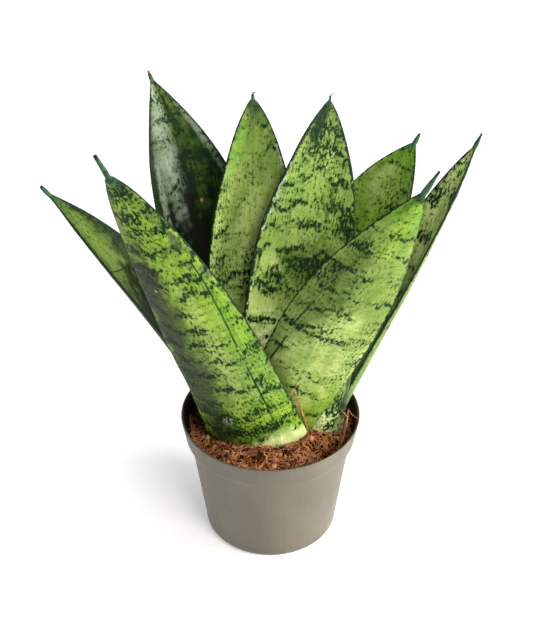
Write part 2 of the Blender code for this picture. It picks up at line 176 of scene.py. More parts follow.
LEAVES = (
    Leaf(
        name="leaf_left",
        foot=(-32, 8),
        length=221,
        spine=5,
        spine_half_width=(1.6, 1.2),
        lean=(17, 41),
        heading=(183, 172),
        roll=(6, -8),
        half_width=(17, 26),
        widest=0.55,
        taper=1,
        fold=(50, 40),
        # Painted shadow: the forest lower half of the ground stands for the shadow of
        # leaf_front_left
        ground=((0, "forest"), (0.5, "forest"), (0.62, "olive"), (0.9, "olive"),
                (1, "teal")),
        bands=(15, 1, 0.1),
        sag=4,
        flecks=0,
        edge=1.8,
        patches=(
            # Painted shadow cast by leaf_front_left: the black patch and the two forest patches by
            # the +across margin
            Patch("black", 0.3, 0.5, 1.2, 0.2, 0.95),
            Patch("forest", 0.85, 0.7, 0.5, 0.2, 0.85),
            Patch("forest", 0.9, 0.88, 0.3, 0.2, 0.6),
            Patch("leaf", -0.1, 0.76, 0.5, 0.1, 0.35),
            Patch("leaf", 0.1, 0.87, 0.3, 0.07, 0.2),
            Patch("mark", 0.85, 0.8, 0.25, 0.3, 0.1),
            Patch("mark", -0.95, 0.65, 0.3, 0.3, 0.14),
            Patch("mark", 0.2, 0.93, 0.8, 0.04, 0.08),
            Patch("scuff", -0.75, 0.6, 0.06, 0.008, 0.8, 0.2),
        ),
        creases=(((-1, 0.735), (0.35, 0.665)),),
        gloss=0.08,
    ),
    Leaf(
        name="leaf_front_left",
        foot=(-3, -20),
        length=267,
        spine=16,
        spine_half_width=(1.8, 1.3),
        lean=(18.5, 24),
        heading=(220, 192),
        roll=(49, 52),
        half_width=(36, 32),
        widest=0.35,
        taper=0.55,
        fold=(32, 28),
        ground=((0, "green"), (0.18, "lime"), (0.3, "leaf"), (0.38, "leaf"), (0.6, "lime"),
                (0.97, "lime"), (1, "teal")),
        bands=(14, 1.1, 0.26),
        sag=-5,
        flecks=0.015,
        edge=1.3,
        patches=(
            # The first three patches are a painted greyish reflection over the left half of the
            # outer face
            Patch("taupe", 0.62, 0.62, 0.5, 0.22, 1),
            Patch("taupe", 0.62, 0.36, 0.42, 0.26, 0.95),
            Patch("taupe", 0.5, 0.16, 0.34, 0.1, 0.85),
            Patch("olive", 0.3, 0.45, 0.3, 0.3, 0.5),
            Patch("slate", 0.75, 0.72, 0.3, 0.03, 0.6, 0.8),
            Patch("slate", 0.8, 0.62, 0.3, 0.03, 0.6, 0.8),
            Patch("slate", 0.75, 0.5, 0.35, 0.03, 0.6, 0.8),
            Patch("slate", 0.6, 0.38, 0.4, 0.03, 0.6, 0.8),
            Patch("green", -0.75, 0.45, 0.3, 0.25, 0.5),
            Patch("pale", -0.15, 0.5, 0.2, 0.2, 0.4),
            Patch("slate", -0.62, 0.78, 0.2, 0.04, 0.7, 0.9),
            Patch("slate", -0.85, 0.68, 0.2, 0.04, 0.7, 0.9),
            Patch("slate", -0.75, 0.93, 0.3, 0.1, 0.5, 0.9),
            Patch("cream", -0.5, 0.07, 0.75, 0.055, 1, 0.15),
            Patch("mark", -0.35, 0.2, 0.9, 0.07, 0.045),
            Patch("mark", -0.3, 0.145, 0.9, 0.012, 0.12),
            Patch("mark", -0.5, 0.07, 0.9, 0.04, -0.4),
            Patch("mark", 0, 0.895, 1.2, 0.012, 0.14),
            Patch("mark", 0, 0.845, 1.2, 0.01, 0.1),
            Patch("mark", 0.9, 0.95, 0.5, 0.08, 0.12),
            Patch("scuff", 0.3, 0.2, 0.1, 0.022, 0.9, 0.9),
            Patch("teal", 0, 1.0, 0.3, 0.035, 0.9),
            Patch("scuff", -0.2, 0.918, 0.05, 0.006, 0.8, 0.2),
            Patch("scuff", 0.5, 0.66, 0.04, 0.006, 0.8, 0.2),
        ),
        creases=(((-0.76, 0.736), (-0.56, 0.452)), ((-0.55, 0.383), (-0.51, 0.135))),
    ),
    Leaf(
        name="leaf_back_left",
        foot=(-19, 27),
        length=249,
        spine=3,
        spine_half_width=(1.3, 1.0),
        lean=(8, 30.5),
        heading=(134, 135),
        roll=(-17, -24),
        half_width=(18, 31.5),
        widest=0.6,
        taper=0.95,
        fold=(45, 31),
        # The black lower part is the leaf's own dark green, deepened by painted shade
        ground=((0, "black"), (0.45, "black"), (0.68, "black"), (0.8, "forest"), (1, "olive")),
        bands=(14, 1.4, 0.1),
        sag=5,
        flecks=0.02,
        edge=1,
        patches=(
            # The pale patches and streaks are painted reflections of the lights, and the crisp
            # forest patch among them is painted shade on the far side of the fold
            Patch("frost", -0.45, 0.9, 0.5, 0.22, 0.62, 0.1),
            Patch("frost", -0.42, 0.76, 0.2, 0.16, 0.4),
            Patch("forest", 0.25, 0.8, 0.16, 0.3, 0.85, 0.2),
            Patch("green", 0.45, 0.76, 0.35, 0.16, 0.16, 0.8),
            Patch("frost", -0.74, 0.7, 0.09, 0.1, 0.6, 0.2),
            Patch("frost", 0.86, 0.83, 0.12, 0.13, 0.42, 0.2),
            Patch("forest", -0.97, 0.78, 0.12, 0.3, 0.6),
            Patch("mark", -0.4, 0.85, 0.5, 0.12, -0.03),
            Patch("coir_light", 0.15, 0.66, 0.03, 0.008, 0.7, 0.2),
        ),
        gloss=0.12,
    ),
    Leaf(
        name="leaf_inner_left",
        foot=(-14, 16),
        length=236,
        spine=3,
        spine_half_width=(1.1, 0.8),
        lean=(3.5, 19.5),
        heading=(77, 92),
        roll=(6, 15),
        half_width=(15, 30),
        widest=0.55,
        taper=0.7,
        fold=(39, 28),
        ground=((0, "cream"), (0.35, "pale"), (0.65, "pale"), (0.82, "leaf"), (0.92, "olive"),
                (1, "forest")),
        bands=(17, 1, 0.1),
        sag=3,
        flecks=-0.015,
        edge=1.3,
        patches=(
            Patch("leaf", -0.5, 0.6, 0.35, 0.25, 0.5),
            # Painted sheen: a pale streak by the +across margin
            Patch("frost", 0.93, 0.8, 0.05, 0.12, 0.8, 0.9),
            # Painted shadow of leaf_centre on the +across side: this olive patch, and the black
            # wedge below
            Patch("olive", 0.95, 0.6, 0.2, 0.3, 0.6),
            Patch("mark", -0.8, 0.62, 0.25, 0.12, 0.1),
            Patch("mark", 0, 0.5, 1, 0.06, 0.09),
            Patch("mark", -0.6, 0.95, 1, 0.05, 0.06),
            Patch("green", -0.7, 0.9, 0.4, 0.1, 0.5),
            # Painted shadow: a black wedge where leaf_centre shades this leaf
            Patch("black", 0.22, 0.48, 0.22, 0.15, 0.95, 0.2),
        ),
    ),
    Leaf(
        name="leaf_centre",
        foot=(2, 4),
        length=241,
        spine=3,
        spine_half_width=(0.9, 0.5),
        lean=(5, 30),
        heading=(39, 73),
        roll=(36, 33),
        half_width=(18.5, 33),
        widest=0.55,
        taper=0.75,
        fold=(27, 23),
        ground=((0, "cream"), (0.3, "cream"), (0.42, "pale"), (0.62, "leaf"), (0.93, "leaf"),
                (1, "forest")),
        bands=(16, 1.2, 0.17),
        sag=6,
        flecks=0.005,
        edge=2.6,
        patches=(
            Patch("mark", 0.4, 0.83, 0.7, 0.12, 0.09),
            Patch("olive", 0.3, 0.92, 0.8, 0.08, 0.4),
            Patch("forest", -0.5, 0.94, 0.5, 0.08, 0.85),
            Patch("mark", -0.5, 0.92, 0.4, 0.1, 0.1),
            Patch("pale", 0.35, 0.85, 0.2, 0.08, 0.4),
            Patch("mark", -0.6, 0.8, 0.4, 0.06, 0.08),
            Patch("mark", 0.9, 0.67, 0.25, 0.05, 0.2),
            Patch("mark", -0.1, 0.67, 0.6, 0.012, 0.14),
            Patch("mark", -0.5, 0.5, 0.35, 0.05, 0.16),
            Patch("mark", -0.9, 0.53, 0.2, 0.03, 0.16),
            Patch("mark", 0.1, 0.565, 0.5, 0.02, 0.16),
            Patch("mark", 0.4, 0.53, 0.35, 0.06, 0.14),
            # Painted shadow cast by leaf_front_right: the forest and olive patches across the lower
            # blade
            Patch("forest", 0.65, 0.52, 0.5, 0.1, 0.9),
            Patch("olive", 0.1, 0.53, 0.7, 0.1, 0.95),
            Patch("mark", -0.6, 0.385, 0.4, 0.012, 0.2),
            Patch("mark", -0.6, 0.44, 0.35, 0.03, -0.2),
            Patch("mark", -0.3, 0.6, 0.35, 0.03, -0.1),
            Patch("leaf", -0.3, 0.47, 0.5, 0.06, 0.5),
            # Painted sheen: a pale streak by the -across margin
            Patch("frost", -0.93, 0.72, 0.05, 0.08, 0.8, 0.9),
        ),
    ),
    Leaf(
        name="leaf_back_right",
        foot=(19, 21),
        length=214,
        spine=6,
        spine_half_width=(1.6, 0.9),
        lean=(15.5, 39.5),
        heading=(37, 41),
        roll=(3, 11),
        half_width=(16, 28.5),
        widest=0.7,
        taper=0.9,
        fold=(45, 36),
        ground=((0, "leaf"), (0.5, "leaf"), (0.7, "green"), (0.85, "leaf"), (0.95, "green"),
                (1, "teal")),
        bands=(15, 1, 0.1),
        sag=5,
        flecks=0.015,
        edge=1.1,
        patches=(
            Patch("pale", -0.3, 0.84, 0.4, 0.08, 0.45),
            Patch("lime", 0.3, 0.78, 0.45, 0.16, 0.4),
        ),
    ),
    Leaf(
        name="leaf_right",
        foot=(37, 5),
        length=225,
        spine=9,
        spine_half_width=(1.7, 0.7),
        lean=(29, 34.5),
        heading=(32, 39),
        roll=(-34, -11),
        half_width=(14.5, 24),
        widest=0.5,
        taper=0.8,
        fold=(47, 47),
        ground=((0, "leaf"), (0.4, "lime"), (0.7, "pale"), (0.95, "pale"), (1, "forest")),
        bands=(19, 1.8, 0.16),
        sag=3,
        flecks=0,
        edge=2,
        patches=(
            Patch("lime", 0.2, 0.8, 0.5, 0.12, 0.6),
            Patch("slate", -0.85, 0.9, 0.25, 0.2, 0.5),
            Patch("mark", -0.5, 0.8, 0.35, 0.03, 0.2),
            Patch("mark", 0.1, 0.91, 0.4, 0.02, 0.16),
            Patch("mark", 0, 0.7, 0.5, 0.03, 0.16),
            # Painted shade: the olive patch darkens the blade by the +across margin
            Patch("olive", 1.0, 0.4, 0.9, 0.5, 0.8),
            # Painted light: the cream patch lightens the top of the blade
            Patch("cream", 0, 0.82, 1, 0.22, 0.35),
        ),
    ),
    Leaf(
        name="leaf_front_right",
        foot=(-6, -6),
        length=258,
        spine=16,
        spine_half_width=(1.9, 0.8),
        lean=(21.5, 27.5),
        heading=(-46, -10),
        roll=(-55, -75),
        half_width=(20.5, 30.5),
        widest=0.5,
        taper=0.8,
        fold=(20, 21),
        ground=((0, "cream"), (0.12, "lime"), (0.3, "lime"), (0.42, "pale"), (0.62, "leaf"),
                (0.85, "leaf"), (0.95, "green"), (1, "forest")),
        bands=(19, 0.9, 0.17),
        sag=4,
        flecks=-0.015,
        edge=1.4,
        patches=(
            # Painted shade: the olive patches darken the blade, most towards the +across margin
            Patch("olive", 0, 0.55, 2, 0.6, 0.25, 0),
            Patch("olive", 0.5, 0.66, 0.5, 0.16, 0.8),
            Patch("olive", 0.85, 0.5, 0.3, 0.16, 0.6),
            Patch("pale", -0.1, 0.52, 0.45, 0.1, 0.6),
            Patch("lime", 0, 0.86, 0.5, 0.08, 0.6),
            Patch("pale", -0.2, 0.32, 0.5, 0.12, 0.6),
            Patch("mark", 0.45, 0.68, 0.4, 0.12, 0.08),
            Patch("mark", 0.7, 0.78, 0.35, 0.12, 0.07),
            Patch("mark", 0.1, 0.5, 0.9, 0.01, 0.14),
            Patch("mark", 0.75, 0.42, 0.3, 0.012, 0.16),
            Patch("mark", 0.1, 0.35, 0.7, 0.02, 0.07),
        ),
        creases=(((0.62, 0.6), (0.72, 0.5)), ((0.7, 0.46), (0.78, 0.36))),
    ),
    Leaf(
        name="leaf_short_right",
        foot=(28, -7),
        length=135,
        spine=4,
        spine_half_width=(1.3, 0.6),
        lean=(6.5, 22.5),
        heading=(-39, -24),
        roll=(-58, -46),
        half_width=(17, 20),
        widest=0.3,
        taper=0.75,
        fold=(20, 54),
        ground=((0, "cream"), (0.22, "cream"), (0.36, "leaf"), (0.8, "olive"), (1, "forest")),
        bands=(13, 1.4, 0.16),
        sag=3,
        flecks=0.01,
        edge=1.4,
        patches=(
            Patch("forest", -0.85, 0.33, 0.2, 0.2, 0.9),
            Patch("mark", -0.5, 0.36, 0.3, 0.1, 0.12),
            Patch("mark", -0.4, 0.2, 0.25, 0.04, 0.16),
            Patch("mark", 0.1, 0.3, 0.25, 0.03, 0.16),
            Patch("mark", 0.5, 0.4, 0.3, 0.1, 0.08),
        ),
    ),
)


# ---------------------------------------------------------------- sizes and colours


def length_setting(name, description, default_mm):
    """A length, its default given in mm."""
    return FloatProperty(
        name=name, description=description, default=default_mm * MM, min=0, unit="LENGTH"
    )


def colour_setting(name, description, default):
    """A colour in linear light."""
    return FloatVectorProperty(
        name=name, description=description, default=default, size=3, min=0, max=1, subtype="COLOR"
    )


class PlantSizes(bpy.types.PropertyGroup):
    """Sizes and counts of the fine detail."""

    wave: length_setting("Blade wave", "How far a blade swells in and out of its arc", 0.35)
    crease_depth: length_setting("Crease depth", "Depth of the creases in a leaf", 0.35)
    crease_width: length_setting("Crease width", "Half width of the creases", 0.45)
    coir_relief: length_setting("Coir relief", "Height of the coir's lumps", 4.2)
    crumb_size: length_setting("Crumb size", "Half length of a middling crumb of coir", 1.3)
    fibre_radius: length_setting("Fibre radius", "Radius of a coir fibre", 0.19)
    crumbs: IntProperty(name="Crumbs", description="Crumbs on the coir", default=2700, min=0)
    fibres: IntProperty(name="Fibres", description="Fibres on the coir", default=2600, min=0)


class PlantColours(bpy.types.PropertyGroup):
    """Colours of the leaves, the coir and the pot."""

    cream: colour_setting("Cream", "Blanched foot of a leaf", (0.7, 0.76, 0.36))
    pale: colour_setting("Pale green", "Lightest part of the blade", (0.39, 0.475, 0.15))
    lime: colour_setting("Lime green", "Bright growth between the bands", (0.22, 0.33, 0.038))
    leaf: colour_setting("Leaf green", "Middling blade", (0.19, 0.272, 0.06))
    green: colour_setting("Deep green", "Saturated green near the foot", (0.13, 0.26, 0.02))
    moss: colour_setting("Moss tint", "What mottling multiplies the blade by", (0.2, 0.33, 0.18))
    olive: colour_setting("Olive", "Dull shaded green", (0.1, 0.15, 0.03))
    # Painted sheen: a greyish reflection laid over the outer face
    taupe: colour_setting("Taupe bloom", "Greyish bloom on the outer face", (0.05, 0.062, 0.023))
    slate: colour_setting("Slate", "Blue-grey blotches by the margin", (0.035, 0.045, 0.042))
    forest: colour_setting("Forest green", "Dark blade", (0.014, 0.032, 0.009))
    teal: colour_setting("Teal", "Spine at the tip", (0.03, 0.095, 0.05))
    ink: colour_setting("Ink green", "Bands and flecks", (0.004, 0.016, 0.006))
    black: colour_setting("Black green", "Darkest blade", (0.005, 0.008, 0.003))
    # Painted sheen: pale streaks that stand for the lights' reflections on the waxy skin
    frost: colour_setting("Frost", "Pale waxy streaks", (0.4, 0.46, 0.36))
    scuff: colour_setting("Scuff", "Scraped skin", (0.6, 0.6, 0.52))
    coir_dark: colour_setting("Dark coir", "Gaps and old fibres", (0.012, 0.004, 0.003))
    coir_red: colour_setting("Red coir", "Most of the coir", (0.19, 0.047, 0.016))
    coir_light: colour_setting("Light coir", "Fresh crumbs and fibres", (0.64, 0.29, 0.13))
    root: colour_setting("Root", "Dry standing roots", (0.5, 0.19, 0.06))
    plastic: colour_setting("Pot", "Taupe plastic", (0.11, 0.094, 0.065))
    floor: colour_setting("Floor", "Studio floor", (0.93, 0.93, 0.93))


# ---------------------------------------------------------------- shapes from arrays


def add_object(name, data):
    """A new object in the scene, at the origin."""
    made = bpy.data.objects.new(name, data)
    bpy.context.scene.collection.objects.link(made)
    return made


def around(radius, turn, height):
    """Points at these radii and turns round the axis, and at these heights."""
    return np.stack(np.broadcast_arrays(radius * cos(turn), radius * sin(turn), height), axis=-1)


def ramp(pair, share):
    """The first of the pair plus share times the way to the second."""
    return pair[0] + (pair[1] - pair[0]) * share


def ease(share):
    """Smooth step from 0 to 1: three times the share's square less twice its cube."""
    share = np.clip(share, 0, 1)
    return share * share * (3 - 2 * share)


def noise(x, y, seed):
    """Smooth random field from -1 to 1 with one lump a unit, repeating every 64 units.

    Four random values at the corners of a unit square are blended with a smooth step.
    """
    lattice = np.random.default_rng(seed).uniform(-1, 1, (64, 64))
    column, row = np.floor(x).astype(int), np.floor(y).astype(int)
    right, up = ease(x - column), ease(y - row)
    columns, rows = (column % 64, (column + 1) % 64), (row % 64, (row + 1) % 64)
    below, above = (ramp((lattice[columns[0], j], lattice[columns[1], j]), right) for j in rows)
    return ramp((below, above), up)


def layered_noise(x, y, seed, layers=4, roughness=0.55):
    """Noise plus finer and weaker noise, each layer at twice the scale of the last."""
    return sum(noise(x * 2**i, y * 2**i, seed + i) * roughness**i for i in range(layers))


def loft(name, rings, starts, ends, fields):
    """Closed bodies from rings of points, in one mesh.

    rings is (bodies, rows, sides, 3). Neighbouring rings are joined by four-sided faces, and
    each end is closed by triangles to a point. fields maps an attribute's name to its values
    at the rings, (bodies, rows, sides) or with 3 more, and the end points take the value
    of the first side of the ring beside them. Faces are turned out if the volume is negative.
    """
    bodies, rows, sides, _ = rings.shape
    number = np.arange(bodies * rows * sides).reshape(bodies, rows, sides)
    beside = np.roll(number, -1, axis=2)
    quads = np.stack([number[:, :-1], beside[:, :-1], beside[:, 1:], number[:, 1:]], axis=-1)
    first = number.size + np.arange(bodies)[:, None] + np.zeros(sides, int)
    last = first + bodies
    caps = np.stack([first, beside[:, 0], number[:, 0]], axis=-1)
    far_caps = np.stack([last, number[:, -1], beside[:, -1]], axis=-1)
    quads = quads.reshape(-1, 4)
    triangles = np.concatenate([caps.reshape(-1, 3), far_caps.reshape(-1, 3)])
    points = np.concatenate([rings.reshape(-1, 3), starts, ends])
    a, b, c, d = (points[quads[:, i]] for i in range(4))
    volume = np.sum(a * np.cross(b, c)) + np.sum(a * np.cross(c, d))
    a, b, c = (points[triangles[:, i]] for i in range(3))
    volume += np.sum(a * np.cross(b, c))
    if volume < 0:
        quads, triangles = quads[:, ::-1], triangles[:, ::-1]
    mesh = bpy.data.meshes.new(name)
    mesh.from_pydata(points.tolist(), [], quads.tolist() + triangles.tolist())
    for field, values in fields.items():
        width = values.shape[3:] or (1,)
        ends_of = [values[:, 0, 0].reshape(-1, *width), values[:, -1, 0].reshape(-1, *width)]
        flat = np.concatenate([values.reshape(-1, *width)] + ends_of)
        if width == (1,):
            mesh.attributes.new(field, "FLOAT", "POINT").data.foreach_set("value", flat.ravel())
        else:
            made = mesh.attributes.new(field, "FLOAT_VECTOR", "POINT")
            made.data.foreach_set("vector", flat.ravel())
    mesh.shade_smooth()
    mesh.validate()
    return add_object(name, mesh)


def tubes(name, paths, radii, sides, seed, rough=0, fields=None):
    """Round bodies along paths, (bodies, rows, 3), with a radius at every row.

    A ring is the path's point plus the radius times the cosine and sine of the side's angle on
    two directions square to the path, and each end stands out by half a radius. rough varies
    the radius at random from point to point. fields holds one value for each body.
    """
    forward = np.gradient(paths, axis=1)
    forward /= np.linalg.norm(forward, axis=2, keepdims=True) + 1e-12
    overall = np.abs(paths[:, -1] - paths[:, 0])
    helper = np.eye(3)[np.argmin(overall, axis=1)][:, None, :]
    side = np.cross(forward, helper)
    side /= np.linalg.norm(side, axis=2, keepdims=True) + 1e-12
    other = np.cross(forward, side)
    angle = 2 * pi * np.arange(sides) / sides
    random = np.random.default_rng(seed)
    reach = radii[:, :, None] * (1 + rough * random.uniform(-1, 1, radii.shape + (sides,)))
    rings = paths[:, :, None] + reach[..., None] * (
        side[:, :, None] * cos(angle)[:, None] + other[:, :, None] * sin(angle)[:, None]
    )
    shown = {}
    for field, values in (fields or {}).items():
        shown[field] = np.broadcast_to(values[:, None, None], rings.shape[:3])
    starts = paths[:, 0] - forward[:, 0] * radii[:, :1] / 2
    ends = paths[:, -1] + forward[:, -1] * radii[:, -1:] / 2
    return loft(name, rings, starts, ends, shown)


# ---------------------------------------------------------------- materials

# Fixed tones: what the blade's clouds multiply it by, and the plastic's shaded, drawn and
# scuffed parts
YELLOWING = (0.72, 0.95, 0.5)
PLASTIC_SHADED = (0.09, 0.077, 0.055)
PLASTIC_DRAWN = (0.16, 0.144, 0.11)
PLASTIC_SCUFFED = (0.18, 0.165, 0.13)


class Finish:
    """A material's node tree, built by small calls that each return an output socket."""

    def __init__(self, name):
        self.material = bpy.data.materials.new(name)
        self.material.use_nodes = True
        self.tree = self.material.node_tree
        self.shader = self.tree.nodes["Principled BSDF"]

    def put(self, socket, value):
        """Links an output socket, or sets a number, a vector or a colour of three parts."""
        if isinstance(value, bpy.types.NodeSocket):
            self.tree.links.new(value, socket)
        elif socket.type == "RGBA":
            socket.default_value = (*value, 1)
        else:
            socket.default_value = value

    def node(self, kind, inputs, output=0, **settings):
        """Adds a node, and returns one of its outputs."""
        made = self.tree.nodes.new(kind)
        for key, value in settings.items():
            setattr(made, key, value)
        for key, value in inputs.items():
            self.put(made.inputs[key], value)
        return made.outputs[output]

    def math(self, operation, *values):
        return self.node("ShaderNodeMath", dict(enumerate(values)), operation=operation)

    def mix(self, share, first, second, blend="MIX"):
        """Blends two colours, which are the node's sockets 6 and 7."""
        inputs = {0: share, 6: first, 7: second}
        return self.node("ShaderNodeMix", inputs, output=2, data_type="RGBA", blend_type=blend)

    def field(self, name, output="Fac"):
        return self.node("ShaderNodeAttribute", {}, output=output, attribute_name=name)

    def stretch(self, vector, scale):
        inputs = {0: vector, 1: scale}
        return self.node("ShaderNodeVectorMath", inputs, operation="MULTIPLY")

    def split(self, vector):
        """The three parts of a vector."""
        return self.node("ShaderNodeSeparateXYZ", {0: vector}).node.outputs

    def grey(self, value):
        return self.node("ShaderNodeCombineColor", {0: value, 1: value, 2: value})

    def place(self):
        return self.node("ShaderNodeTexCoord", {}, output="Object")

    def noise(self, vector, scale, detail=2.0, roughness=0.5):
        inputs = {"Vector": vector, "Scale": scale, "Detail": detail, "Roughness": roughness}
        return self.node("ShaderNodeTexNoise", inputs)

    def step(self, value, low, high, start=0.0, end=1.0):
        """Smooth rise of value from start at low to end at high."""
        inputs = {"Value": value, 1: low, 2: high, 3: start, 4: end}
        return self.node("ShaderNodeMapRange", inputs, interpolation_type="SMOOTHSTEP")

    def bump(self, height, distance, strength):
        inputs = {"Height": height, "Distance": distance, "Strength": strength}
        return self.node("ShaderNodeBump", inputs)

    def finish(self, colour, roughness, normal, **constants):
        """Puts the skin on the shader, with its constants on the shader's own sockets."""
        self.put(self.shader.inputs["Base Color"], colour)
        self.put(self.shader.inputs["Roughness"], roughness)
        self.put(self.shader.inputs["Normal"], normal)
        for key, value in constants.items():
            self.shader.inputs[key.replace("_", " ")].default_value = value
        return self.material


def leaf_finish(leaf, colours):
    """Waxy leaf skin: dark flecks gather into bands, with fine fibres along the blade.

    The tint attribute is the ground colour. marks holds how strongly flecks gather, and how
    far the margin and the nearest crease are in mm. blade is the place on the blade in mm.
    """
    skin = Finish(leaf.name + "_skin")
    blade = skin.field("blade", "Vector")
    gather, margin, crease = skin.split(skin.field("marks", "Vector"))

    # Flecks are where coarse dashes, fine grains and the gathering add up past a threshold
    dashes = skin.noise(skin.stretch(blade, (0.62, 0.3, 1)), 1.0, 3.0, 0.6)
    grains = skin.noise(skin.stretch(blade, (2.2, 1.1, 1)), 1.0, 2.0, 0.6)
    score = skin.math("ADD", skin.math("MULTIPLY_ADD", grains, 0.3, gather), dashes)
    fleck = skin.step(score, 0.79, 0.825)
    halo = skin.step(score, 0.7, 0.82, 0.0, 0.7)
    mottle = skin.noise(skin.stretch(blade, (0.55, 0.3, 1)), 1.0, 5.0, 0.7)
    mottle = skin.step(skin.math("MULTIPLY_ADD", gather, 0.6, mottle), 0.49, 0.63, 0.0, 0.58)

    # The ground varies in clouds, in fibres along the blade and from speck to speck
    fibres = skin.noise(skin.stretch(blade, (1.2, 0.05, 1)), 1.0, 3.0, 0.65)
    cloud = skin.noise(skin.stretch(blade, (0.16, 0.07, 1)), 1.0, 3.0, 0.55)
    speckle = skin.noise(blade, 1.2, 3.0, 0.65)
    yellowing = skin.step(cloud, 0.3, 0.6, 0.6, 0.0)
    ground = skin.mix(yellowing, skin.field("tint", "Color"), YELLOWING, "MULTIPLY")
    shade = skin.math(
        "ADD", skin.step(fibres, 0.32, 0.68, 0.8, 1.04), skin.step(speckle, 0.3, 0.7, -0.16, 0.14)
    )
    shade = skin.math("ADD", shade, skin.step(cloud, 0.3, 0.7, -0.1, 0.12))
    ground = skin.mix(1.0, ground, skin.grey(shade), "MULTIPLY")
    ground = skin.mix(mottle, ground, colours.moss, "MULTIPLY")
    ground = skin.mix(halo, ground, colours.moss, "MULTIPLY")
    ground = skin.mix(fleck, ground, colours.ink)

    # A ragged dark stripe and a fine dark rim follow the margins, and a dark line of painted shade
    # follows the creases
    reach = skin.math("MULTIPLY", skin.step(dashes, 0.3, 0.6), leaf.edge)
    stripe = skin.step(skin.math("SUBTRACT", margin, reach), -0.25, 0.1, 0.9, 0.0)
    rim = skin.step(margin, 0.3, 0.6, 0.9, 0.0)
    dark = skin.mix(skin.step(speckle, 0.5, 0.7), colours.ink, colours.slate)
    ground = skin.mix(stripe, ground, dark)
    ground = skin.mix(skin.math("MAXIMUM", rim, stripe), ground, dark)
    # Painted shade: a dark line along each crease
    ground = skin.mix(skin.step(crease, 0.4, 0.9, 0.95, 0.0), ground, colours.ink)

    rough = skin.step(cloud, 0.3, 0.7, 0.38, 0.48)
    rough = skin.math("MULTIPLY_ADD", speckle, 0.12, rough)
    relief = skin.math("MULTIPLY_ADD", fleck, -0.2, skin.math("ADD", fibres, speckle))
    normal = skin.bump(relief, 0.12 * MM, 0.55)
    return skin.finish(ground, rough, normal, IOR=1.34, Specular_IOR_Level=leaf.gloss)


def coir_finish(name, colours, dark):
    """Dry coir: every crumb or fibre has its own shade, with fine woody grain.

    The shade attribute plus grain and lumps runs from dark through red to light coir.
    """
    coir = Finish(name)
    place = coir.place()
    grain = coir.noise(place, 900.0, 3.0, 0.7)
    lumps = coir.noise(place, 160.0, 4.0, 0.6)
    shade = coir.math("MULTIPLY_ADD", grain, 0.45, coir.field("shade"))
    shade = coir.math("MULTIPLY_ADD", lumps, 0.5, shade)
    low = coir.mix(coir.step(shade, 0.52, 0.98), colours.coir_dark, colours.coir_red)
    colour = coir.mix(coir.step(shade, 1.0, 1.4), low, colours.coir_light)
    # Painted shade: the bed under the crumbs goes most of the way to dark coir, for the shade in
    # the gaps between them
    if dark:
        colour = coir.mix(0.8, colour, colours.coir_dark)
    relief = coir.math("ADD", grain, lumps)
    return coir.finish(colour, 0.85, coir.bump(relief, 0.5 * MM, 0.8), IOR=1.2)


def root_finish(colours):
    """Dry root skin with darker rings and a pale tip."""
    root = Finish("root_skin")
    place = root.place()
    rings = root.noise(root.stretch(place, (200, 200, 900)), 1.0, 2.0, 0.6)
    patches = root.noise(place, 150.0, 2.0, 0.5)
    colour = root.mix(root.step(rings, 0.3, 0.7), colours.coir_red, colours.root)
    colour = root.mix(root.step(patches, 0.5, 0.75, 0.0, 0.6), colour, colours.coir_light)
    return root.finish(colour, 0.6, root.bump(rings, 0.2 * MM, 0.7), IOR=1.45)


def dry_finish(colours):
    """Withered brown leaf skin."""
    dry = Finish("dry_tip_skin")
    place = dry.place()
    streaks = dry.noise(dry.stretch(place, (900, 900, 300)), 1.0, 3.0, 0.6)
    colour = dry.mix(dry.step(streaks, 0.35, 0.65), colours.coir_dark, colours.coir_red)
    return dry.finish(colour, 0.75, dry.bump(streaks, 0.2 * MM, 0.7), IOR=1.4)


def rhizome_finish(colours):
    """Cream stem skin with brown scale scars round it."""
    stem = Finish("rhizome_skin_fine")
    place = stem.place()
    scars = stem.noise(stem.stretch(place, (700, 120, 120)), 1.0, 3.0, 0.6)
    stains = stem.noise(place, 90.0, 3.0, 0.6)
    colour = stem.mix(stem.step(scars, 0.45, 0.65, 0.0, 0.8), colours.cream, colours.root)
    colour = stem.mix(stem.step(stains, 0.5, 0.75, 0.0, 0.7), colour, colours.coir_red)
    return stem.finish(colour, 0.6, stem.bump(scars, 0.4 * MM, 0.6), IOR=1.45)


def pot_finish(colours):
    """Matte moulded plastic: faint clouds, drawn-down flow lines, and a dark coir dusting inside,
    partly painted shade.
    """
    plastic = Finish("pot_plastic_fine")
    place = plastic.place()
    cloud = plastic.noise(place, 28.0, 4.0, 0.55)
    flow = plastic.noise(plastic.stretch(place, (420, 420, 14)), 1.0, 3.0, 0.6)
    grain = plastic.noise(place, 1500.0, 2.0, 0.6)
    colour = plastic.mix(plastic.step(cloud, 0.35, 0.68), PLASTIC_SHADED, colours.plastic)
    colour = plastic.mix(plastic.step(flow, 0.5, 0.8, 0.0, 0.3), colour, PLASTIC_DRAWN)
    # Coir dusting and painted shade darken the inside below the lip
    dust_and_shade = plastic.math("MULTIPLY", plastic.field("inside"), plastic.step(cloud, 0.3, 0.7, 0.5, 1))
    colour = plastic.mix(dust_and_shade, colour, colours.coir_dark)
    scuffs = plastic.noise(plastic.stretch(place, (90, 90, 300)), 1.0, 4.0, 0.7)
    colour = plastic.mix(plastic.step(scuffs, 0.62, 0.78, 0.0, 0.35), colour, PLASTIC_SCUFFED)
    rough = plastic.step(flow, 0.3, 0.7, 0.4, 0.52)
    fine = plastic.math("MULTIPLY_ADD", flow, 1.5, grain)
    return plastic.finish(colour, rough, plastic.bump(fine, 0.06 * MM, 0.5), IOR=1.47)


# ---------------------------------------------------------------- pieces


